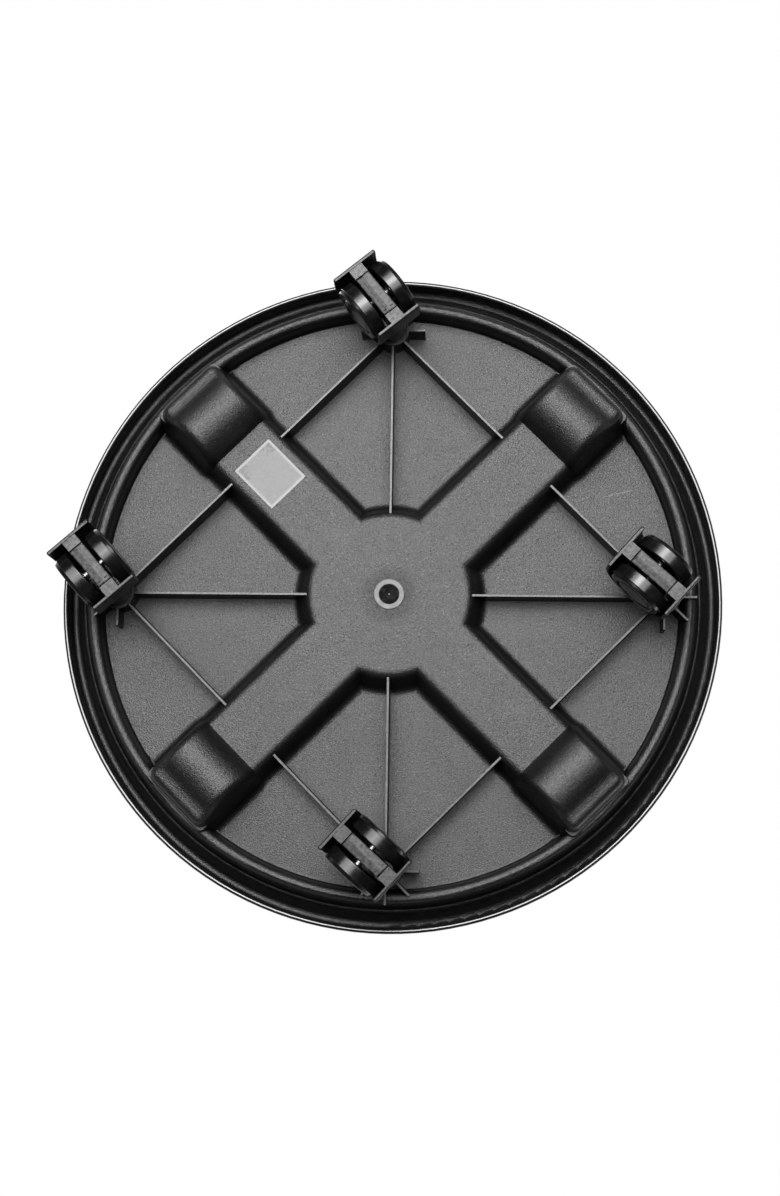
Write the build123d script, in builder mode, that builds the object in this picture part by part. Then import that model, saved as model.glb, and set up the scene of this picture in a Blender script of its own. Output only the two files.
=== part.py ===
from build123d import *

import os
from math import cos, radians, sin, sqrt, tan

os.makedirs("parts", exist_ok=True)

# A round plant-pot caddy: a moulded saucer on four hooded twin-wheel swivel casters.
# Millimetres, +Z up. The origin is on the ground, under the centre of the hub.
# The casters stand on the X and Y axes and the arms of the cross run along the diagonals.

# ---------------------------------------------------------------- tray
RIM_R = 225.0          # outer radius of the rim
WALL = 2.5             # wall of the moulding
BEAD_OUT = 0.3         # how far the lip's bead stands out from the lip
FLOOR_Z = 71.0         # underside of the floor that the pot stands over
CROSS_Z = 50.0         # underside of the cross-shaped water channel
GUTTER_Z = 55.5        # underside of the ring gutter
FLANGE_Z = 89.5        # underside of the rim's flange
LIP_Z = 71.5           # lower edge of the rim's lip
LIP_BEAD_R = 1.7       # rounded bead along the lip's lower edge
SKY_Z = 100.0          # anywhere above the tray
OUTSIDE = 10.0         # how far the space over the bowl runs on past the rim
LIP_BEAD_UP = 1.0      # its centre, above the lip's lower edge
GUTTER_ROOT = 1.5      # rounding where the floor turns into the gutter
HEAD = 8.0             # how far the hollows of the cross run on above the floor
SPLIT_R = 188.0        # the rim ring is a piece of its own outside this radius

HUB_R = 55.6           # hub of the cross, at its underside
HUB_DRAFT = 19.6       # degrees from vertical
ARM_HALF = 23.4        # half the width of an arm, at its underside
ARM_DRAFT = 15.5
BRIM = 12.0            # how far its section runs on over the floor
EDGE_FILLET = 6.5      # rounding of the cross's lower edges
ROOT_FILLET = 5.5      # rounding where the cross meets the floor
ARM_END_R = 160.0      # the arm runs on inside the well

WELL_IN_R = 146.2      # hub side of a well
WELL_OUT_R = 200.0     # rim side of a well, at the cross's level
WELL_HALF = 26.5       # half its width, at the cross's level
WELL_DRAFT = 10.8
WELL_CORNER = 3.5
WELL_BLEND = 6.0       # the arm widens into the well over this length
WELL_SIDES_TO = 192.0  # the straight sides end here and the rounded end begins
WELL_FILLET = 2.8      # rounding of its lower edges
BARREL_R = 23.8        # the rounded belly of a well
BARREL_DROP = 20.6     # how far the belly hangs below the cross
BARREL_TURN = 36.0     # degrees of arc past the lowest line
BELLY_RUN = 20.0       # how far the belly's block runs on past its profile
BELLY_BELOW = 4.0      # and below it
SHOULDER_R = 14.5      # hollow curve from the belly to the shoulder
SHOULDER_SLOPE = 6.0
BELLY_CORNER = 3.0
BELLY_FILLET = 6.0
LEDGE = 0.5            # step between the belly's end wall and the well's base

# ---------------------------------------------------------------- sockets and ribs
SOCKET_R = 183.5       # swivel axes, from the hub
BOSS_R = 11.0
BOSS_Z = 51.0
RIB_Z = 52.0           # free edge of the ribs
RIB_EDGE = 1.8         # thickness at the free edge
RIB_ROOT = 2.2         # and at the floor
RIB_ROUND = 0.3        # rounding of the free edge
SHORT_RIB = 22.0       # reach of the short ribs, from the swivel axis
LONG_RIB_TO_HUB = SOCKET_R - HUB_R
LONG_RIB_TO_ARM = (SOCKET_R - ARM_HALF * sqrt(2)) / sqrt(2)
ANCHOR = 1.0           # how far ribs and bosses are drawn into the wall they meet, before they are cut to it
FLANGE_GAP = 0.3       # room round a sleeve's flange
SLEEVE_GAP = 0.5       # and above its end

# ---------------------------------------------------------------- drain and label
DRAIN_HOLE_R = 8.0
RING_R = 10.25         # pale ring seen round the drain
RING_BORE_R = 6.8
RING_LIP = 0.9         # thickness of the grommet's flanges
INNER_RING_R = 9.65    # its flange on the upper side
PLUG_R = 6.75
PLUG_HEAD_R = 9.0
PLUG_GAP = 0.1         # room under the plug's head
LABEL_R = 116.0        # centre of the label, from the hub
LABEL_SIZE = (36.5, 31.8)
LABEL_T = 0.2
LABEL_CORNER = 0.8

# ---------------------------------------------------------------- casters
WHEEL_R = 20.0
WHEEL_IN = 7.9         # inner face, from the caster's middle plane
WHEEL_OUT = 18.3       # outer face
TRAIL = 15.0           # from the swivel axis back to the axle
AXLE_R = 2.5
AXLE_HALF = 15.8
FIT = 0.05             # radial clearance of everything that turns
WEB_HALF = 5.1         # half the thickness of the web between the wheels
WEB_Z = 6.0            # its lower face
HOOD_R = 25.2
HOOD_T = 2.2
HOOD_HALF = 17.1
HOOD_EDGE = 1.05
LIP_END_Z = 5.4        # lower ends of the hood's straight lips
NECK_R = 9.0
NECK_FROM_Z = 22.0
NECK_TOP_Z = 47.5
NECK_CHAMFER = 0.6
HOUSING_R = 6.5        # round the stem, between the wheels
HOUSING_Z = 24.5
HOUSING_TOP_Z = 36.0
STEM_R = 4.0
STEM_END_Z = 28.5
STEM_GAP = 0.5         # room under its end
STEM_TOP_Z = 68.5
COLLAR_R = 7.5
COLLAR_Z = 48.0
SLEEVE_Z = 49.8        # underside of the sleeve's flange
SLEEVE_R = 6.5
SLEEVE_TOP_Z = 69.5
SLEEVE_FLANGE_R = 10.0
GROOVE_Z = (63.0, 65.0)
GROOVE_R = 3.2
GRIP_R = 4.9           # outside of the grip ring
GRIP_SLOT = 2.8        # its slot
KEEPER_HALF = 15.2
KEEPER_TOP_Z = 24.0
SEAM = 0.6             # gap at each end of the keeper
STEP = 0.5             # lengthwise step in the keeper's underside
NOTCH = (0.9, 2.4, 2.6)         # two notches by its end
NOTCH_IN = 2.4                  # from the end
NOTCH_APART = 2.7               # and from the middle plane
POCKET = (3.2, 2.6, 1.8)        # a pocket in its side
POCKET_X = 2.0                  # from the axle

# Where each caster stands round the tray, and the way it points, in degrees.
CASTERS = {"east": (0, 41.6), "south": (90, 42.0), "west": (180, 48.6), "north": (270, 51.0)}


def save(piece, name):
    """Label a finished piece and write it as its own STEP file."""
    piece.part.label = name
    export_step(piece.part, f"parts/{name}.step")


def bowl(skin):
    """Everything above the bowl's underside, moved inwards by skin."""
    outline = [
        (0, FLOOR_Z),
        (196.2, FLOOR_Z),
        (197.5, GUTTER_Z),
        (203.9, GUTTER_Z),
        (208.8, 72.0),
        (210.9, 72.5),
        (217.4, FLANGE_Z),
        (RIM_R - BEAD_OUT - WALL, FLANGE_Z),
        (RIM_R - BEAD_OUT - WALL, LIP_Z),
    ]
    rounding = [GUTTER_ROOT, 4.4, 2.7, 1.0, 2.7, 2.8, 2.6]
    with BuildPart() as space:
        with BuildSketch(Plane.XZ):
            with BuildLine():
                under = FilletPolyline(*outline, radius=rounding)
                if skin:
                    line = offset(under, amount=skin, side=Side.LEFT, closed=False, mode=Mode.REPLACE)
                else:
                    line = under
                middle, edge = sorted((line @ 0, line @ 1), key=lambda point: point.X)
                far = RIM_R + OUTSIDE
                Polyline(edge, (far, edge.Y), (far, SKY_Z), (0, SKY_Z), middle)
            make_face()
        revolve(axis=Axis.Z)
    return space.part


def flare(half, foot_z, draft, fillet_low, skin):
    """Half section of a drafted channel wall that flares into the floor, moved inwards by skin."""
    rise = FLOOR_Z - foot_z
    narrower = skin / cos(radians(draft)) - skin * tan(radians(draft))
    low = half - narrower
    high = low + rise * tan(radians(draft))
    points = [
        (0, foot_z + skin),
        (low, foot_z + skin),
        (high, FLOOR_Z + skin),
        (high + BRIM, FLOOR_Z + skin),
        (high + BRIM, FLOOR_Z + HEAD),
        (0, FLOOR_Z + HEAD),
    ]
    rounding = [0, fillet_low - skin, ROOT_FILLET + skin, 0, 0, 0]
    return points, rounding


def across(x, section):
    """The flared section, on both sides of the XZ plane, at x."""
    points, rounding = section
    with BuildSketch(Plane.YZ.offset(x)) as cut:
        with BuildLine():
            FilletPolyline(*points, radius=rounding, close=True)
        make_face()
        mirror(about=Plane.YZ)
    return cut.sketch


def cross(skin):
    """The hub and the four arms of the water channel."""
    points, rounding = flare(HUB_R, CROSS_Z, HUB_DRAFT, EDGE_FILLET, skin)
    with BuildPart() as arm:
        add(across(0, flare(ARM_HALF, CROSS_Z, ARM_DRAFT, EDGE_FILLET, skin)))
        extrude(amount=ARM_END_R, dir=(1, 0, 0))
    with BuildPart() as shape:
        with BuildSketch(Plane.XZ):
            with BuildLine():
                FilletPolyline(*points, radius=rounding, close=True)
            make_face()
        revolve(axis=Axis.Z)
        with Locations(*[Location((0, 0, 0), (0, 0, 45 + 90 * k)) for k in range(4)]):
            add(arm.part)
    return shape.part


def well(skin):
    """One deep well at the end of an arm, along +X: a round belly, a hollow, a shoulder, an end wall."""
    belly_r = BARREL_R - skin
    hollow_r = SHOULDER_R + skin
    centre = Vector(WELL_IN_R + BARREL_R, CROSS_Z - BARREL_DROP + BARREL_R)
    leave = centre + Vector(0, -belly_r).rotate(Axis.Z, BARREL_TURN)
    hollow = leave + Vector(0, -hollow_r).rotate(Axis.Z, BARREL_TURN)
    shelf = hollow + Vector(0, hollow_r).rotate(Axis.Z, SHOULDER_SLOPE)
    with BuildPart() as belly:
        with BuildSketch(Plane.XZ):
            with BuildLine():
                low = centre + Vector(0, -belly_r)
                start = centre + Vector(-belly_r, 0)
                ThreePointArc(start, centre + Vector(0, -belly_r).rotate(Axis.Z, -45), low)
                ThreePointArc(low, centre + Vector(0, -belly_r).rotate(Axis.Z, BARREL_TURN / 2), leave)
                half_way = (BARREL_TURN + SHOULDER_SLOPE) / 2
                ThreePointArc(leave, hollow + Vector(0, hollow_r).rotate(Axis.Z, half_way), shelf)
                out = shelf + Vector(BELLY_RUN, 0).rotate(Axis.Z, SHOULDER_SLOPE)
                Polyline(shelf, out, (out.X, FLOOR_Z + HEAD), (start.X, FLOOR_Z + HEAD), start)
            make_face()
        extrude(amount=2 * WELL_HALF, both=True)
        # Drafted walls: what lies outside the tapered block is cut away.
        depth = BARREL_DROP + BELLY_BELOW
        pull_in = skin / cos(radians(WELL_DRAFT)) + depth * tan(radians(WELL_DRAFT))
        end = WELL_OUT_R - LEDGE - pull_in
        length = end - WELL_IN_R + BELLY_RUN
        with BuildSketch(Plane.XY.offset(CROSS_Z - depth)):
            with Locations((end - length / 2, 0)):
                RectangleRounded(length, 2 * (WELL_HALF - pull_in), BELLY_CORNER - skin)
        extrude(amount=depth + FLOOR_Z + HEAD - CROSS_Z, taper=-WELL_DRAFT, mode=Mode.INTERSECT)
        below = belly.edges().filter_by_position(Axis.Z, 0, CROSS_Z + WALL)
        off_middle = below.filter_by(lambda edge: abs(edge.center().Y) > BELLY_CORNER)
        around = off_middle + below.sort_by(Axis.X)[-1:]
        fillet(around, BELLY_FILLET - skin)
    with BuildPart() as base:
        narrow = flare(ARM_HALF, CROSS_Z, ARM_DRAFT, EDGE_FILLET, skin)
        wide = flare(WELL_HALF, CROSS_Z, WELL_DRAFT, WELL_FILLET, skin)
        add(across(WELL_IN_R, narrow))
        add(across(WELL_IN_R + WELL_BLEND, wide))
        loft(ruled=True)
        add(across(WELL_IN_R + WELL_BLEND, wide))
        extrude(amount=WELL_SIDES_TO - WELL_IN_R - WELL_BLEND, dir=(1, 0, 0))
        inset = skin / cos(radians(WELL_DRAFT)) - skin * tan(radians(WELL_DRAFT))
        length = WELL_OUT_R - WELL_IN_R - 2 * WELL_BLEND
        with BuildSketch(Plane.XY.offset(CROSS_Z + skin)):
            with Locations((WELL_OUT_R - inset - length / 2, 0)):
                RectangleRounded(length, 2 * (WELL_HALF - inset), WELL_CORNER - skin)
        extrude(amount=FLOOR_Z + HEAD - CROSS_Z - skin, taper=-WELL_DRAFT)
        add(belly.part)
    return base.part


def ribs():
    """The ribs round one caster socket at SOCKET_R on +X."""
    spokes = [
        (180, LONG_RIB_TO_HUB + ANCHOR),
        (135, LONG_RIB_TO_ARM + ANCHOR),
        (-135, LONG_RIB_TO_ARM + ANCHOR),
        (90, SHORT_RIB),
        (-90, SHORT_RIB),
        (45, SHORT_RIB),
        (-45, SHORT_RIB),
        (0, SHORT_RIB),
    ]
    top = FLOOR_Z + ANCHOR
    with BuildPart() as web:
        for angle, reach in spokes:
            along = Vector(1, 0, 0).rotate(Axis.Z, angle)
            with BuildSketch(Plane(origin=(SOCKET_R, 0, 0), z_dir=along, x_dir=along.rotate(Axis.Z, 90))):
                with BuildLine():
                    FilletPolyline(
                        (-RIB_EDGE / 2, RIB_Z),
                        (RIB_EDGE / 2, RIB_Z),
                        (RIB_ROOT / 2, top),
                        (-RIB_ROOT / 2, top),
                        radius=[RIB_ROUND, RIB_ROUND, 0, 0],
                        close=True,
                    )
                make_face()
            extrude(amount=reach)
    return web.part


def around_hub(count_from=0.0):
    """Four turns about the hub, a quarter apart."""
    return Locations(*[Location((0, 0, 0), (0, 0, count_from + 90 * k)) for k in range(4)])


def inside(radius):
    """The space within a radius of the hub's axis, from below the tray to above it."""
    with BuildPart() as space:
        Cylinder(radius, SKY_Z, align=(Align.CENTER, Align.CENTER, Align.MIN))
    return space.part


# ---------------------------------------------------------------- tray
# One moulding, made as its rim ring, four quarters of its floor and four stars of ribs, which meet
# face to face. The quarters meet under the ribs, and each has one arm of the cross with its well.
with BuildPart() as upper_side:
    add(bowl(WALL))
    add(cross(WALL))
    with around_hub(45):
        add(well(WALL))

with BuildPart() as under_side:
    add(bowl(0))
    add(cross(0))
    with around_hub(45):
        add(well(0))

with BuildPart() as skin_of_tray:
    add(under_side.part)
    add(upper_side.part, mode=Mode.SUBTRACT)
    with Locations((0, 0, CROSS_Z)):
        Cylinder(DRAIN_HOLE_R + FIT, 3 * WALL, mode=Mode.SUBTRACT)

with BuildPart() as tray_rim:
    add(skin_of_tray.part)
    add(inside(SPLIT_R), mode=Mode.SUBTRACT)
    with BuildSketch(Plane.XZ):
        with Locations((RIM_R - LIP_BEAD_R, LIP_Z + LIP_BEAD_UP)):
            Circle(LIP_BEAD_R)
    revolve(axis=Axis.Z)
save(tray_rim, "tray_rim")

for turn, name in enumerate(["southeast", "southwest", "northwest", "northeast"]):
    with BuildPart() as quarter:
        add(skin_of_tray.part)
        add(inside(SPLIT_R), mode=Mode.INTERSECT)
        with Locations(Location((0, 0, 0), (0, 0, 90 * turn))):
            Box(RIM_R, RIM_R, SKY_Z, align=(Align.MIN, Align.MIN, Align.MIN), mode=Mode.INTERSECT)
    save(quarter, f"{name}_floor")

for name, (turn, _) in CASTERS.items():
    with BuildPart() as star:
        with Locations(Location((0, 0, 0), (0, 0, turn))):
            add(ribs())
            with Locations((SOCKET_R, 0, BOSS_Z)):
                Cylinder(BOSS_R, FLOOR_Z + ANCHOR - BOSS_Z, align=(Align.CENTER, Align.CENTER, Align.MIN))
        add(under_side.part, mode=Mode.SUBTRACT)
        with Locations(Location((0, 0, 0), (0, 0, turn))):
            with Locations((SOCKET_R, 0, BOSS_Z)):
                Cylinder(
                    SLEEVE_FLANGE_R + FLANGE_GAP,
                    2 * (BOSS_Z - CROSS_Z),
                    align=(Align.CENTER, Align.CENTER, Align.MAX),
                    mode=Mode.SUBTRACT,
                )
                Cylinder(
                    SLEEVE_R + FIT,
                    SLEEVE_TOP_Z + SLEEVE_GAP - BOSS_Z,
                    align=(Align.CENTER, Align.CENTER, Align.MIN),
                    mode=Mode.SUBTRACT,
                )
    save(star, f"{name}_ribs")

# ---------------------------------------------------------------- drain
with BuildPart() as drain_grommet:
    with BuildSketch(Plane.XZ):
        with BuildLine():
            FilletPolyline(
                (RING_BORE_R, CROSS_Z - RING_LIP),
                (RING_R, CROSS_Z - RING_LIP),
                (RING_R, CROSS_Z),
                (DRAIN_HOLE_R, CROSS_Z),
                (DRAIN_HOLE_R, CROSS_Z + WALL),
                (INNER_RING_R, CROSS_Z + WALL),
                (INNER_RING_R, CROSS_Z + WALL + RING_LIP),
                (RING_BORE_R, CROSS_Z + WALL + RING_LIP),
                radius=[0.25, 0.45, 0, 0, 0, 0, 0.35, 0.2],
                close=True,
            )
        make_face()
    revolve(axis=Axis.Z)
save(drain_grommet, "drain_grommet")

plug_seat_z = CROSS_Z + WALL + RING_LIP + PLUG_GAP
with BuildPart() as drain_plug:
    with BuildSketch(Plane.XZ):
        with BuildLine():
            Polyline(
                (0, 49.6),
                (0.55, 49.7),
                (0.8, 50.9),
                (3.3, 50.5),
                (3.6, 50.1),
                (5.2, 49.9),
                (5.6, 49.5),
                (PLUG_R, 49.7),
                (PLUG_R, plug_seat_z),
                (PLUG_HEAD_R, plug_seat_z),
                (PLUG_HEAD_R, plug_seat_z + 1.0),
                (PLUG_HEAD_R - 0.8, plug_seat_z + 1.8),
                (2.2, plug_seat_z + 1.8),
                (1.8, plug_seat_z + 4.6),
                (3.2, plug_seat_z + 5.4),
                (3.2, plug_seat_z + 6.4),
                (2.4, plug_seat_z + 7.2),
                (0, plug_seat_z + 7.2),
                close=True,
            )
        make_face()
    revolve(axis=Axis.Z)
save(drain_plug, "drain_plug")

# ---------------------------------------------------------------- label
with BuildPart() as label:
    with BuildSketch(Plane.XY.offset(CROSS_Z - LABEL_T)):
        with Locations(Location((0, 0, 0), (0, 0, 225))):
            with Locations((LABEL_R, 0)):
                RectangleRounded(*LABEL_SIZE, LABEL_CORNER)
    extrude(amount=LABEL_T)
save(label, "label")


# ---------------------------------------------------------------- casters
# A caster's own frame has its origin on the ground under the swivel axis, with +X pointing
# from the axle to the swivel axis and +Y along the axle.
AXLE_PLANE = Plane(origin=(-TRAIL, 0, WHEEL_R), x_dir=(0, 1, 0), z_dir=(1, 0, 0))


def side_view(radius, low_z, half):
    """A disc round the axle with straight sides down to low_z, as thick as the middle of the caster."""
    with BuildPart() as block:
        with BuildSketch(Plane.XZ):
            with Locations((-TRAIL, WHEEL_R)):
                Circle(radius)
                Rectangle(2 * radius, WHEEL_R - low_z, align=(Align.CENTER, Align.MAX))
            with Locations((-TRAIL, low_z)):
                Rectangle(3 * radius, 2 * radius, align=(Align.CENTER, Align.MAX), mode=Mode.SUBTRACT)
        extrude(amount=half, both=True)
    return block.part


def hood():
    """Cover, neck, stem housing and the web between the wheels, in one moulding."""
    with BuildPart() as wheel_room:
        with Locations((0, WEB_HALF + HOOD_HALF, 0), (0, -WEB_HALF - HOOD_HALF, 0)):
            add(side_view(HOOD_R - HOOD_T, LIP_END_Z - HOOD_T, HOOD_HALF))
    with BuildPart() as shell:
        add(side_view(HOOD_R, LIP_END_Z, HOOD_HALF))
        sides = shell.faces().filter_by(Axis.Y).edges()
        foot = shell.faces().sort_by(Axis.Z)[0].edges().filter_by(Axis.Y)
        fillet(sides + foot, HOOD_EDGE)
        with Locations((0, 0, NECK_FROM_Z)):
            Cylinder(NECK_R, NECK_TOP_Z - NECK_FROM_Z, align=(Align.CENTER, Align.CENTER, Align.MIN))
        chamfer(shell.faces().sort_by(Axis.Z)[-1].edges(), NECK_CHAMFER)
        add(wheel_room.part, mode=Mode.SUBTRACT)
        with Locations((-TRAIL, 0, LIP_END_Z)):
            Box(
                2 * (HOOD_R - HOOD_T),
                2 * WEB_HALF,
                WEB_Z - LIP_END_Z,
                align=(Align.CENTER, Align.CENTER, Align.MIN),
                mode=Mode.SUBTRACT,
            )
        with Locations((-TRAIL, 0, WEB_Z)):
            Box(
                2 * (HOOD_R - HOOD_T / 2),
                2 * WEB_HALF,
                WHEEL_R - WEB_Z,
                align=(Align.CENTER, Align.CENTER, Align.MIN),
            )
        with Locations((0, 0, HOUSING_Z)):
            Cylinder(HOUSING_R, HOUSING_TOP_Z - HOUSING_Z, align=(Align.CENTER, Align.CENTER, Align.MIN))
        with Locations((0, 0, STEM_END_Z - STEM_GAP)):
            Cylinder(STEM_R + FIT, SKY_Z, align=(Align.CENTER, Align.CENTER, Align.MIN), mode=Mode.SUBTRACT)
        with Locations((-TRAIL, 0, WEB_Z)):
            Box(
                2 * (KEEPER_HALF + SEAM),
                2 * (HOUSING_R + HOOD_T),
                KEEPER_TOP_Z - WEB_Z,
                align=(Align.CENTER, Align.CENTER, Align.MIN),
                mode=Mode.SUBTRACT,
            )
    return shell.part


def axle_keeper():
    """Block that carries the axle and closes the web from below."""
    with BuildPart() as block:
        with Locations((-TRAIL, 0, WEB_Z)):
            Box(
                2 * KEEPER_HALF,
                2 * WEB_HALF,
                KEEPER_TOP_Z - WEB_Z,
                align=(Align.CENTER, Align.CENTER, Align.MIN),
            )
        with BuildSketch(AXLE_PLANE.offset(-KEEPER_HALF)):
            with Locations((WEB_HALF, WEB_Z - WHEEL_R)):
                Rectangle(WEB_HALF + 1.0, 2 * STEP)
        extrude(amount=2 * KEEPER_HALF, mode=Mode.SUBTRACT)
        notch_x = KEEPER_HALF - TRAIL - NOTCH_IN
        with Locations((notch_x, NOTCH_APART, WEB_Z), (notch_x, -NOTCH_APART, WEB_Z)):
            Box(*NOTCH, mode=Mode.SUBTRACT)
        with Locations((POCKET_X - TRAIL, WEB_HALF, WEB_Z)):
            Box(*POCKET, mode=Mode.SUBTRACT)
        with BuildSketch(Plane.XZ):
            with Locations((-TRAIL, WHEEL_R)):
                Circle(AXLE_R)
        extrude(amount=2 * WEB_HALF, both=True, mode=Mode.SUBTRACT)
    return block.part


def axle():
    """Steel pin through the keeper into both wheels."""
    with BuildPart() as pin:
        with BuildSketch(Plane.XZ):
            with Locations((-TRAIL, WHEEL_R)):
                Circle(AXLE_R)
        extrude(amount=AXLE_HALF, both=True)
        chamfer(pin.faces().filter_by(Axis.Y).edges(), 0.4)
    return pin.part


def wheel(side):
    """One wheel: side is 1 for the +Y wheel and -1 for the other."""
    outline = [
        (WHEEL_IN, AXLE_R + FIT),
        (WHEEL_IN, 6.0),
        (WHEEL_IN + 4.6, 6.0),
        (WHEEL_IN + 4.6, 16.0),
        (WHEEL_IN, 16.0),
        (WHEEL_IN, WHEEL_R),
        (15.6, WHEEL_R),
        (15.8, WHEEL_R - 0.35),
        (WHEEL_OUT, WHEEL_R - 1.3),
        (WHEEL_OUT, 14.6),
        (WHEEL_OUT - 0.8, 14.0),
        (WHEEL_OUT - 0.8, 12.4),
        (WHEEL_OUT - 0.1, 11.8),
        (WHEEL_OUT, 5.0),
        (WHEEL_OUT - 0.5, 0),
        (AXLE_HALF + 0.4, 0),
        (AXLE_HALF + 0.4, AXLE_R + FIT),
    ]
    rounding = [0, 0.4, 1.0, 1.0, 0.5, 0.9, 0, 0, 1.2, 0.3, 0.2, 0.2, 0.3, 0, 0, 0, 0]
    with BuildPart() as turned:
        with BuildSketch(AXLE_PLANE):
            with BuildLine():
                FilletPolyline(*[(side * u, v) for u, v in outline], radius=rounding, close=True)
            make_face()
        revolve(axis=Axis((-TRAIL, 0, WHEEL_R), (0, 1, 0)))
    return turned.part


def stem():
    """Steel stem with a collar, held in the tray; the hood turns about its lower end."""
    with BuildPart() as post:
        with BuildSketch(Plane.XZ):
            with BuildLine():
                Polyline(
                    (0, STEM_END_Z),
                    (STEM_R - 0.5, STEM_END_Z),
                    (STEM_R, STEM_END_Z + 0.5),
                    (STEM_R, COLLAR_Z),
                    (COLLAR_R, COLLAR_Z),
                    (COLLAR_R, SLEEVE_Z),
                    (STEM_R, SLEEVE_Z),
                    (STEM_R, GROOVE_Z[0]),
                    (GROOVE_R, GROOVE_Z[0]),
                    (GROOVE_R, GROOVE_Z[1]),
                    (STEM_R, GROOVE_Z[1]),
                    (STEM_R, STEM_TOP_Z - 0.8),
                    (STEM_R - 0.8, STEM_TOP_Z),
                    (0, STEM_TOP_Z),
                    close=True,
                )
            make_face()
        revolve(axis=Axis.Z)
    return post.part


def grip_ring():
    """Split ring in the stem's groove."""
    with BuildPart() as ring:
        with BuildSketch(Plane.XY.offset(GROOVE_Z[0] + 0.2)):
            Circle(GRIP_R)
            Circle(GROOVE_R + FIT, mode=Mode.SUBTRACT)
            with Locations((GRIP_R, 0)):
                Rectangle(2 * GROOVE_R, GRIP_SLOT, mode=Mode.SUBTRACT)
        extrude(amount=GROOVE_Z[1] - GROOVE_Z[0] - 0.4)
    return ring.part


def socket_sleeve():
    """Flanged sleeve that lines a boss, grooved inside for the grip ring."""
    with BuildPart() as tube:
        with BuildSketch(Plane.XZ):
            with BuildLine():
                Polyline(
                    (STEM_R + 0.1, SLEEVE_Z),
                    (SLEEVE_FLANGE_R, SLEEVE_Z),
                    (SLEEVE_FLANGE_R, BOSS_Z),
                    (SLEEVE_R, BOSS_Z),
                    (SLEEVE_R, SLEEVE_TOP_Z),
                    (STEM_R + 0.1, SLEEVE_TOP_Z),
                    (STEM_R + 0.1, GROOVE_Z[1] + 0.5),
                    (GRIP_R + 0.2, GROOVE_Z[1] + 0.5),
                    (GRIP_R + 0.2, GROOVE_Z[0] - 0.5),
                    (STEM_R + 0.1, GROOVE_Z[0] - 0.5),
                    close=True,
                )
            make_face()
        revolve(axis=Axis.Z)
    return tube.part


CASTER_PIECES = {
    "hood": hood(),
    "axle_keeper": axle_keeper(),
    "axle": axle(),
    "wheel_left": wheel(1),
    "wheel_right": wheel(-1),
    "stem": stem(),
    "grip_ring": grip_ring(),
    "socket_sleeve": socket_sleeve(),
}
for name, (turn, heading) in CASTERS.items():
    foot = (SOCKET_R * cos(radians(turn)), SOCKET_R * sin(radians(turn)), 0)
    for kind, shape in CASTER_PIECES.items():
        with BuildPart() as piece:
            with Locations(Location(foot, (0, 0, heading))):
                add(shape)
        save(piece, f"{name}_{kind}")
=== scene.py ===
"""Looks, stage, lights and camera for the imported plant-pot caddy, seen from below."""
import math

import bpy
from mathutils import Matrix, Vector


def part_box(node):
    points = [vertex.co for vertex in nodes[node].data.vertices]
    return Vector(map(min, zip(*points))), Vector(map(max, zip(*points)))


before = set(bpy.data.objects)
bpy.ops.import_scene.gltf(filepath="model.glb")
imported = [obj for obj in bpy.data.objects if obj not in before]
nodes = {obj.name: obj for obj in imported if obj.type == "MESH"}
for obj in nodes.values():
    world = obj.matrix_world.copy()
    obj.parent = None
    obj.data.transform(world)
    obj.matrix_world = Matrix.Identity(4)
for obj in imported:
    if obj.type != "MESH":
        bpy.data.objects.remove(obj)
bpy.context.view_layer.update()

CASTERS = ("east", "south", "west", "north")
ARMS = ("southeast", "southwest", "northwest", "northeast")
# The way each caster points, in degrees from +X towards +Y.
HEADINGS = {"east": 41.6, "south": 42.0, "west": 48.6, "north": 51.0}

# Most of a noise's values lie between these two.
NOISE_LOW, NOISE_HIGH = 0.3, 0.7

# Radii and heights on the tray, in metres, between which a look comes or goes.
LIP_RADII = (0.2205, 0.2215)
LIP_TOP = (0.074, 0.078)
RIB_EDGE_FOOT = (0.0514, 0.0517)
RIB_EDGE_TOP = (0.0522, 0.0526)
HALO_RADII = (0.010, 0.024)

# The scratch on the floor of the tray, in metres, turned from +X towards +Y.
SCRATCH_MIDDLE = (0.155, -0.074, 0.0)
SCRATCH_TURN = math.radians(-14)
SCRATCH_HALF_LENGTH = 0.0125
SCRATCH_HALF_WIDTH = (0.0002, 0.0005)

# In the flow marks, a metre along the radius counts as this many radians round the hub.
FLOW_STRETCH = 4.0

# Distances from the middle of a keeper's underside, in metres.
KEEPER_SEAM = 0.0004
KEEPER_SIDES = (0.0040, 0.0050)
KEEPER_ENDS = (0.0140, 0.0150)

# Distances from the label's middle at which its margin starts, in metres, and how steeply grime
# rises towards its outer corners.
LABEL_SIDES = (0.0135, 0.0150)
LABEL_ENDS = (0.0158, 0.0173)
LABEL_CREEP = 14.0

PIP_RADII = (0.0004, 0.0009)    # of the moulding pip on the plug


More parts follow.
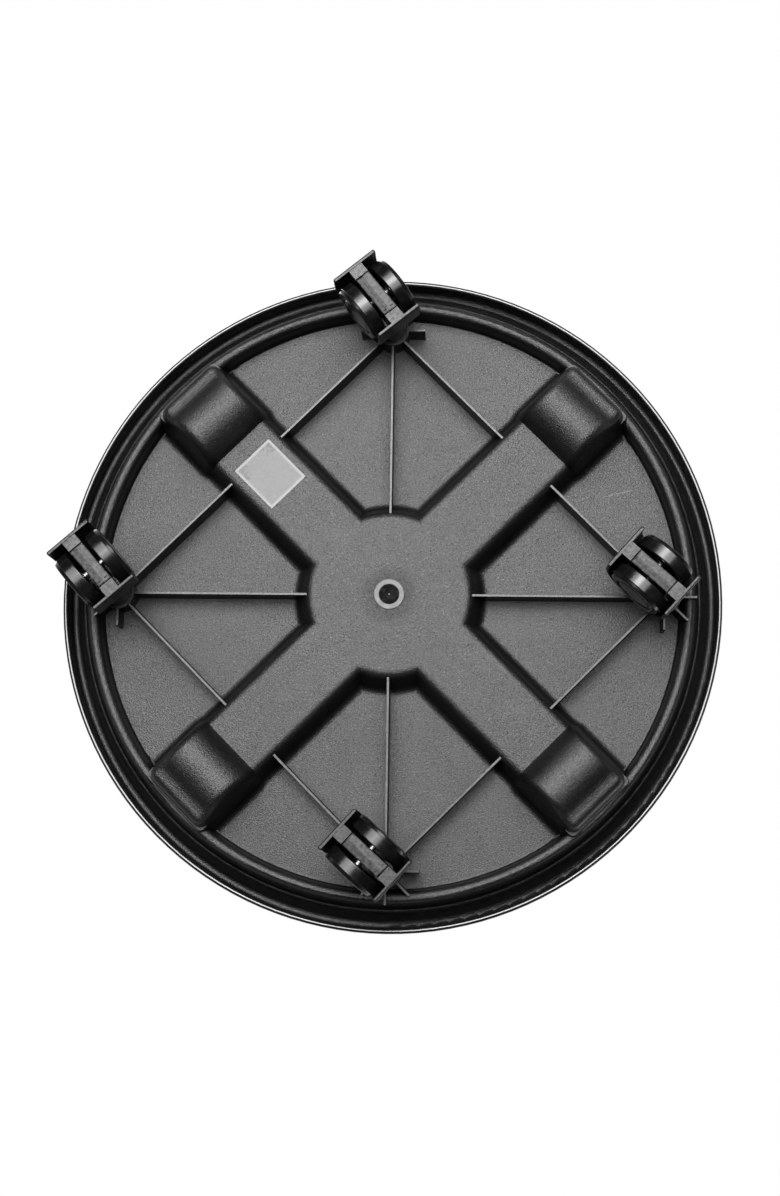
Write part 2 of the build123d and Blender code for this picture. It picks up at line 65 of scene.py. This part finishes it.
class Look:
    """A Principled material built up from a few procedural layers."""

    def __init__(self, name, color, roughness, **sockets):
        self.material = bpy.data.materials.new(name)
        self.material.use_nodes = True
        self.tree = self.material.node_tree
        self.tree.nodes.clear()
        self.out = self.node("ShaderNodeOutputMaterial")
        self.shader = self.node("ShaderNodeBsdfPrincipled")
        self.link(self.shader.outputs["BSDF"], self.out.inputs["Surface"])
        self.shader.inputs["Base Color"].default_value = (*color, 1)
        self.shader.inputs["Roughness"].default_value = roughness
        for socket, value in sockets.items():
            self.shader.inputs[socket.replace("_", " ")].default_value = value
        self.coords = self.node("ShaderNodeTexCoord").outputs["Object"]
        self.normal = None

    def node(self, kind, **settings):
        made = self.tree.nodes.new(kind)
        for key, value in settings.items():
            setattr(made, key, value)
        return made

    def link(self, source, target):
        self.tree.links.new(source, target)

    # ---- arithmetic on sockets and plain numbers

    def math(self, operation, first, second=0.0, clamp=False):
        step = self.node("ShaderNodeMath", operation=operation, use_clamp=clamp)
        for socket, value in zip(step.inputs, (first, second)):
            if isinstance(value, (int, float)):
                socket.default_value = value
            else:
                self.link(value, socket)
        return step.outputs[0]

    def times(self, first, second):
        return self.math("MULTIPLY", first, second)

    def plus(self, first, *others):
        for other in others:
            first = self.math("ADD", first, other)
        return first

    def minus(self, first, second):
        return self.math("SUBTRACT", first, second)

    def absolute(self, value):
        return self.math("ABSOLUTE", value)

    def remap(self, value, low=NOISE_LOW, high=NOISE_HIGH, to_low=0.0, to_high=1.0, smooth=True):
        step = self.node("ShaderNodeMapRange")
        step.interpolation_type = "SMOOTHSTEP" if smooth else "LINEAR"
        for socket, number in zip(step.inputs[1:5], (low, high, to_low, to_high)):
            socket.default_value = number
        self.link(value, step.inputs[0])
        return step.outputs[0]

    def within(self, value, low, high, most=1.0):
        """The value most up to low, fading to 0 at high."""
        return self.remap(value, low, high, most, 0.0)

    def spread(self, noise, to_low, to_high):
        """A noise stretched evenly over the range from to_low to to_high."""
        return self.remap(noise, to_low=to_low, to_high=to_high, smooth=False)

    # ---- places and patterns

    def placed(self, at, turn=0.0):
        """Coordinates measured from a point, turned about Z."""
        moved = self.node("ShaderNodeMapping", vector_type="TEXTURE")
        moved.inputs["Location"].default_value = at
        moved.inputs["Rotation"].default_value = (0, 0, turn)
        self.link(self.coords, moved.inputs["Vector"])
        return moved.outputs[0]

    def axes(self, coords=None):
        split = self.node("ShaderNodeSeparateXYZ")
        self.link(coords or self.coords, split.inputs[0])
        return split.outputs

    def radius(self):
        """Distance from the Z axis."""
        flat = self.node("ShaderNodeVectorMath", operation="MULTIPLY")
        flat.inputs[1].default_value = (1, 1, 0)
        self.link(self.coords, flat.inputs[0])
        length = self.node("ShaderNodeVectorMath", operation="LENGTH")
        self.link(flat.outputs[0], length.inputs[0])
        return length.outputs["Value"]

    def noise(self, size, detail=2.0, roughness=0.5, coords=None, distortion=0.0):
        """Soft noise whose features are about size metres across."""
        step = self.node("ShaderNodeTexNoise")
        step.inputs["Scale"].default_value = 1 / size
        step.inputs["Detail"].default_value = detail
        step.inputs["Roughness"].default_value = roughness
        step.inputs["Distortion"].default_value = distortion
        self.link(coords or self.coords, step.inputs["Vector"])
        return step.outputs["Fac"]

    def cells(self, size):
        """Distance to the nearest of points scattered about size metres apart."""
        step = self.node("ShaderNodeTexVoronoi")
        step.inputs["Scale"].default_value = 1 / size
        self.link(self.coords, step.inputs["Vector"])
        return step.outputs["Distance"]

    def rise(self):
        """1 where the surface faces straight up, 0 where it is upright and -1 facing down."""
        geometry = self.node("ShaderNodeNewGeometry")
        return self.axes(geometry.outputs["Normal"])[2]

    def facing_down(self):
        """1 where the surface faces straight down and 0 where it is steep."""
        return self.remap(self.times(self.rise(), -1.0), 0.8, 0.98)

    def level(self):
        """0 where the surface is upright and 1 where it is nearly level, facing up or down."""
        return self.remap(self.absolute(self.rise()), 0.15, 0.7)

    # ---- layers of the finished material

    def color(self, amount, first, second):
        """Base colour from first, a colour or an earlier layer, to second as amount rises to 1."""
        mixer = self.node("ShaderNodeMix", data_type="RGBA")
        self.link(amount, mixer.inputs[0])
        if isinstance(first, tuple):
            mixer.inputs[6].default_value = (*first, 1)
        else:
            self.link(first, mixer.inputs[6])
        mixer.inputs[7].default_value = (*second, 1)
        self.link(mixer.outputs[2], self.shader.inputs["Base Color"])
        return mixer.outputs[2]

    def roughness(self, value):
        self.link(value, self.shader.inputs["Roughness"])

    def sheen(self, value):
        """How strongly the surface reflects, held between 0 and 1."""
        held = self.math("ADD", value, 0.0, clamp=True)
        self.link(held, self.shader.inputs["Specular IOR Level"])

    def bump(self, height, depth):
        """A further layer of relief, depth metres from lowest to highest."""
        step = self.node("ShaderNodeBump")
        step.inputs["Strength"].default_value = 1.0
        step.inputs["Distance"].default_value = depth
        self.link(height, step.inputs["Height"])
        if self.normal:
            self.link(self.normal, step.inputs["Normal"])
        self.normal = step.outputs["Normal"]
        self.link(self.normal, self.shader.inputs["Normal"])

    def onto(self, *names):
        for name in names:
            node = nodes[name]
            node.data.materials.clear()
            node.data.materials.append(self.material)


def each(kind):
    """The four casters' nodes of one kind."""
    return [f"{place}_{kind}" for place in CASTERS]


# ---------------------------------------------------------------- materials
def scratch(look):
    """One faint straight scratch that fades towards its ends."""
    along, across, _ = look.axes(look.placed(SCRATCH_MIDDLE, SCRATCH_TURN))
    line = look.within(look.absolute(across), *SCRATCH_HALF_WIDTH)
    fade = look.within(look.absolute(along), SCRATCH_HALF_LENGTH / 2, SCRATCH_HALF_LENGTH, most=0.35)
    return look.times(line, fade)


def tray_plastic():
    """Black polypropylene with a fine sand texture, faint flow marks, dust and one scratch.

    Its lip and the free edges of its ribs are rubbed smooth, and its walls are dull.
    """
    look = Look("tray_plastic", (0.004, 0.004, 0.004), 0.42, IOR=1.5)
    x, y, z = look.axes()
    radius = look.radius()
    flat = look.facing_down()
    sand = look.noise(0.0009, detail=3.0, roughness=0.7)
    grit = look.cells(0.0011)
    cloud = look.noise(0.06, detail=5.0, roughness=0.6, distortion=0.4)
    # Flow marks spread out from the hub, so they are drawn out along the radius.
    polar = look.node("ShaderNodeCombineXYZ")
    look.link(look.math("ARCTAN2", y, x), polar.inputs[0])
    look.link(look.times(radius, FLOW_STRETCH), polar.inputs[1])
    flow = look.noise(0.16, detail=4.0, roughness=0.6, coords=polar.outputs[0])

    # Dust shows only on what faces down, towards the camera.
    dust = look.noise(0.0026, coords=look.placed((0.1, 0.4, 0.2)))
    dust = look.times(look.times(look.remap(dust, 0.66, 0.74), flat), 0.20)
    base = look.color(look.remap(cloud, 0.35, 0.65), (0.0030, 0.0030, 0.0031), (0.0055, 0.0055, 0.0056))
    look.color(dust, base, (0.08, 0.08, 0.08))

    # A dull halo shows where water has dried round the drain.
    halo = look.times(look.within(radius, *HALO_RADII), flat)
    on_lip = look.times(look.remap(radius, *LIP_RADII), look.within(z, *LIP_TOP))
    on_rib_edge = look.times(look.remap(z, *RIB_EDGE_FOOT), look.within(z, *RIB_EDGE_TOP))
    on_rib_edge = look.times(on_rib_edge, flat)
    look.roughness(look.plus(
        look.spread(sand, 0.34, 0.44),
        look.spread(cloud, -0.03, 0.03),
        look.spread(flow, -0.02, 0.02),
        look.times(halo, 0.07),
        look.times(on_lip, -0.17),
    ))

    # The grain shows as finely speckled sheen.
    light_speck = look.remap(look.noise(0.0012, detail=1.0), 0.60, 0.72)
    dark_speck = look.noise(0.0014, detail=1.0, coords=look.placed((0.3, 0.2, 0.1)))
    dark_speck = look.remap(dark_speck, 0.60, 0.70)
    sheen = look.plus(
        look.spread(look.noise(0.0010, roughness=0.7), 0.34, 0.66),
        look.times(light_speck, 0.22),
        look.times(dark_speck, -0.16),
        look.remap(flow, 0.35, 0.65, -0.025, 0.025),
        look.times(halo, -0.08),
        scratch(look),
    )
    sheen = look.times(sheen, look.plus(look.times(look.level(), 0.6), 0.4))
    look.sheen(look.plus(sheen, look.times(on_rib_edge, 0.10), look.times(on_lip, 0.5)))

    grain = look.minus(1.0, look.times(look.math("MAXIMUM", on_lip, on_rib_edge), 0.96))
    look.bump(look.times(grit, grain), 0.00012)
    look.bump(look.times(sand, grain), 0.00030)
    look.onto("tray_rim", *[f"{arm}_floor" for arm in ARMS], *each("ribs"))


def hood_plastic():
    """Smooth satin black moulding with fine scuffs."""
    look = Look("hood_plastic", (0.005, 0.005, 0.0051), 0.36, IOR=1.5)
    patch = look.noise(0.012, detail=3.0)
    look.color(look.remap(patch), (0.004, 0.004, 0.0041), (0.007, 0.007, 0.0072))
    look.roughness(look.spread(patch, 0.32, 0.42))
    look.sheen(look.spread(look.noise(0.0018, detail=4.0, roughness=0.7), 0.22, 0.60))
    look.bump(look.noise(0.0016), 0.00005)
    look.onto(*each("hood"), *each("socket_sleeve"))


def keeper_plastic(place):
    """Rubbed charcoal plastic, darker along one half and darker towards its edges and ends."""
    look = Look(f"{place}_keeper_plastic", (0.02, 0.02, 0.0205), 0.5, IOR=1.5)
    low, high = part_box(f"{place}_axle_keeper")
    turned = look.placed((low + high) / 2, math.radians(HEADINGS[place]))
    along, across, _ = look.axes(turned)
    rub = look.noise(0.0022, detail=4.0, roughness=0.7)
    darker = look.remap(across, -KEEPER_SEAM, KEEPER_SEAM)
    # The keeper turns darker towards its long edges and its ends.
    beside = look.remap(look.absolute(across), *KEEPER_SIDES)
    past = look.remap(look.absolute(along), *KEEPER_ENDS)
    darkening = look.math("MAXIMUM", beside, past)
    base = look.color(look.remap(rub, 0.35, 0.7), (0.008, 0.008, 0.0083), (0.035, 0.035, 0.036))
    base = look.color(look.times(darker, 0.6), base, (0.004, 0.004, 0.004))
    look.color(look.times(darkening, 0.8), base, (0.002, 0.002, 0.002))
    look.sheen(look.plus(
        look.spread(rub, 0.25, 0.65),
        look.times(darker, -0.14),
        look.times(darkening, -0.25),
    ))
    look.roughness(look.spread(rub, 0.38, 0.54))
    look.bump(rub, 0.00010)
    look.onto(f"{place}_axle_keeper")


def wheel_plastic():
    """Polished black nylon with faint rolling wear."""
    look = Look("wheel_plastic", (0.004, 0.004, 0.0041), 0.22, IOR=1.5)
    haze = look.noise(0.006, detail=4.0, roughness=0.6)
    look.color(look.remap(haze, 0.4, 0.75), (0.003, 0.003, 0.0031), (0.006, 0.006, 0.0062))
    look.roughness(look.spread(haze, 0.18, 0.27))
    look.bump(look.noise(0.0012), 0.00002)
    look.onto(*each("wheel_left"), *each("wheel_right"))


def steel():
    """Bright zinc-plated steel with fine turning marks."""
    look = Look("steel", (0.40, 0.40, 0.41), 0.34, Metallic=1.0)
    look.roughness(look.spread(look.noise(0.0008, detail=3.0), 0.28, 0.42))
    look.bump(look.noise(0.0005), 0.00001)
    look.onto(*each("axle"), *each("stem"), *each("grip_ring"))


def grommet_plastic():
    """Pale translucent grey moulding."""
    look = Look("grommet_plastic", (0.5, 0.5, 0.49), 0.42, IOR=1.46, Subsurface_Weight=0.15)
    look.shader.inputs["Subsurface Radius"].default_value = (0.001, 0.001, 0.001)
    milk = look.noise(0.004, detail=3.0)
    look.color(look.remap(milk), (0.070, 0.070, 0.069), (0.110, 0.110, 0.108))
    look.bump(look.noise(0.0009), 0.00003)
    look.onto("drain_grommet")


def plug_rubber():
    """Dull black rubber with a pale moulding pip in the middle."""
    look = Look("plug_rubber", (0.004, 0.004, 0.004), 0.7, IOR=1.5)
    worn = look.noise(0.003, detail=3.0)
    pip = look.within(look.radius(), *PIP_RADII)
    base = look.color(look.remap(worn), (0.003, 0.003, 0.003), (0.006, 0.006, 0.006))
    look.color(look.times(pip, 0.8), base, (0.16, 0.16, 0.16))
    look.sheen(look.remap(worn, to_low=0.05, to_high=0.14))
    look.bump(look.noise(0.0008), 0.00004)
    look.onto("drain_plug")


def label_film():
    """Blank frosted film with a lighter margin and a few dull smudges."""
    look = Look("label_film", (0.12, 0.12, 0.122), 0.45, IOR=1.46)
    low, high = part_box("label")
    # The label lies on the north-west arm, square with it.
    to_hub, aside, _ = look.axes(look.placed((low + high) / 2, math.radians(45)))
    wash = look.noise(0.009, detail=4.0, roughness=0.6)
    film = look.color(look.remap(wash), (0.088, 0.088, 0.090), (0.142, 0.142, 0.144))
    beside = look.remap(look.absolute(aside), *LABEL_SIDES)
    past = look.remap(look.absolute(to_hub), *LABEL_ENDS)
    margin = look.math("MAXIMUM", beside, past)
    film = look.color(look.times(margin, 0.4), film, (0.34, 0.34, 0.345))
    # Grime has crept in at the two corners nearest the well.
    to_corners = look.times(look.minus(look.absolute(aside), to_hub), LABEL_CREEP)
    creep = look.plus(look.noise(0.0025, detail=4.0, roughness=0.7), to_corners)
    darkening = look.times(look.remap(creep, 0.80, 0.92), look.minus(1.0, margin))
    film = look.color(look.times(darkening, 0.6), film, (0.02, 0.02, 0.02))
    # A few specks have lifted off.
    lifted = look.within(look.cells(0.006), 0.05, 0.09)
    look.color(look.times(lifted, 0.35), film, (0.32, 0.32, 0.325))
    look.roughness(look.spread(wash, 0.4, 0.55))
    look.bump(look.noise(0.002, detail=3.0), 0.00003)
    look.onto("label")


tray_plastic()
hood_plastic()
for caster in CASTERS:
    keeper_plastic(caster)
wheel_plastic()
steel()
grommet_plastic()
plug_rubber()
label_film()

# ---------------------------------------------------------------- stage
FLOOR_HALF = 8.0
FLOOR_FADE = (0.4, 2.2)         # radii between which the floor fades to white
ROOM_RISE = (-0.1, 0.5)         # heights of a ray between which the room brightens
ROOM_LIGHT = (0.02, 0.75)       # the room's light below the first and above the second


def pale_floor():
    """A plain pale floor that fades to white far out, clear when looked at from underneath."""
    mesh = bpy.data.meshes.new("floor")
    corners = [(-1, -1), (1, -1), (1, 1), (-1, 1)]
    mesh.from_pydata([(x * FLOOR_HALF, y * FLOOR_HALF, 0) for x, y in corners], [], [(0, 1, 2, 3)])
    floor = bpy.data.objects.new("floor", mesh)
    bpy.context.scene.collection.objects.link(floor)
    look = Look("pale_floor", (0.8, 0.8, 0.8), 0.7)

    def mixed(amount, first, second):
        mixer = look.node("ShaderNodeMixShader")
        for source, socket in zip((amount, first, second), mixer.inputs):
            look.link(source, socket)
        return mixer.outputs[0]

    glow = look.node("ShaderNodeEmission").outputs[0]
    clear = look.node("ShaderNodeBsdfTransparent").outputs[0]
    underneath = look.node("ShaderNodeNewGeometry").outputs["Backfacing"]
    faded = mixed(look.remap(look.radius(), *FLOOR_FADE), look.shader.outputs[0], glow)
    look.link(mixed(underneath, faded, clear), look.out.inputs["Surface"])
    mesh.materials.append(look.material)
    floor.visible_diffuse = False
    floor.visible_glossy = False
    floor.visible_transmission = False
    floor.visible_shadow = False


def studio():
    """White surroundings for the camera; for other rays a pale room above and a dark one below."""
    world = bpy.data.worlds.new("studio")
    world.use_nodes = True
    world.node_tree.nodes.clear()
    node, link = world.node_tree.nodes.new, world.node_tree.links.new
    heading = node("ShaderNodeSeparateXYZ")
    link(node("ShaderNodeTexCoord").outputs["Generated"], heading.inputs[0])
    rise = node("ShaderNodeMapRange")
    for socket, number in zip(rise.inputs[1:5], ROOM_RISE + ROOM_LIGHT):
        socket.default_value = number
    link(heading.outputs[2], rise.inputs[0])
    room, white = node("ShaderNodeBackground"), node("ShaderNodeBackground")
    for background in (room, white):
        background.inputs["Color"].default_value = (1, 1, 1, 1)
    link(rise.outputs[0], room.inputs["Strength"])
    mix = node("ShaderNodeMixShader")
    link(node("ShaderNodeLightPath").outputs["Is Camera Ray"], mix.inputs[0])
    link(room.outputs[0], mix.inputs[1])
    link(white.outputs[0], mix.inputs[2])
    link(mix.outputs[0], node("ShaderNodeOutputWorld").inputs["Surface"])
    bpy.context.scene.world = world
    bpy.context.scene.view_settings.view_transform = "Standard"


def softbox(name, place, target, size, radiance):
    """A rectangular soft light of the given radiance, aimed at target."""
    width, height = size
    data = bpy.data.lights.new(name, "AREA")
    data.shape = "RECTANGLE"
    data.size = width
    data.size_y = height
    data.energy = radiance * math.pi * width * height
    light = bpy.data.objects.new(name, data)
    light.location = place
    light.rotation_euler = (Vector(target) - Vector(place)).to_track_quat("-Z", "Y").to_euler()
    light.visible_camera = False
    bpy.context.scene.collection.objects.link(light)


# The camera looks up at the hub from about 1.2 m below, a little off the vertical.
HUB = Vector((0, 0, 0.050))
DISTANCE = 1.207
LENS = 54.2
SENSOR = 36
TILT = math.radians(8.85)
TILT_TOWARDS = Vector((0.28, 0.96, 0)).normalized()
ROLL = math.radians(0.47)
SHIFT = (0.0007525, -0.0031773)  # of the frame, right and up, as a share of its height


def camera():
    data = bpy.data.cameras.new("camera")
    data.lens = LENS
    data.sensor_width = SENSOR
    data.shift_x, data.shift_y = SHIFT
    data.clip_start = 0.05
    data.clip_end = 60
    back = TILT_TOWARDS * math.sin(TILT) + Vector((0, 0, -math.cos(TILT)))
    right = Vector((math.cos(ROLL), -math.sin(ROLL), 0))
    right = (right - back * right.dot(back)).normalized()
    up = back.cross(right)
    made = bpy.data.objects.new("camera", data)
    turn = Matrix((right, up, back)).transposed().to_4x4()
    made.matrix_world = Matrix.Translation(HUB + back * DISTANCE) @ turn
    bpy.context.scene.collection.objects.link(made)
    bpy.context.scene.camera = made


UNDERSIDE = (0, 0, 0.05)
UPPER_SIDE = (0, 0, 0.08)

pale_floor()
studio()
camera()
softbox("front", (-0.05, -0.45, -1.6), UNDERSIDE, size=(2.2, 1.6), radiance=6.4)
softbox("key", (-0.10, -0.50, -1.6), UNDERSIDE, size=(0.7, 0.6), radiance=12.8)
softbox("above", (-0.5, -0.7, 1.6), UPPER_SIDE, size=(1.6, 1.2), radiance=3.0)
softbox("above_fill", (1.2, 0.8, 1.2), UPPER_SIDE, size=(1.2, 1.2), radiance=1.4)
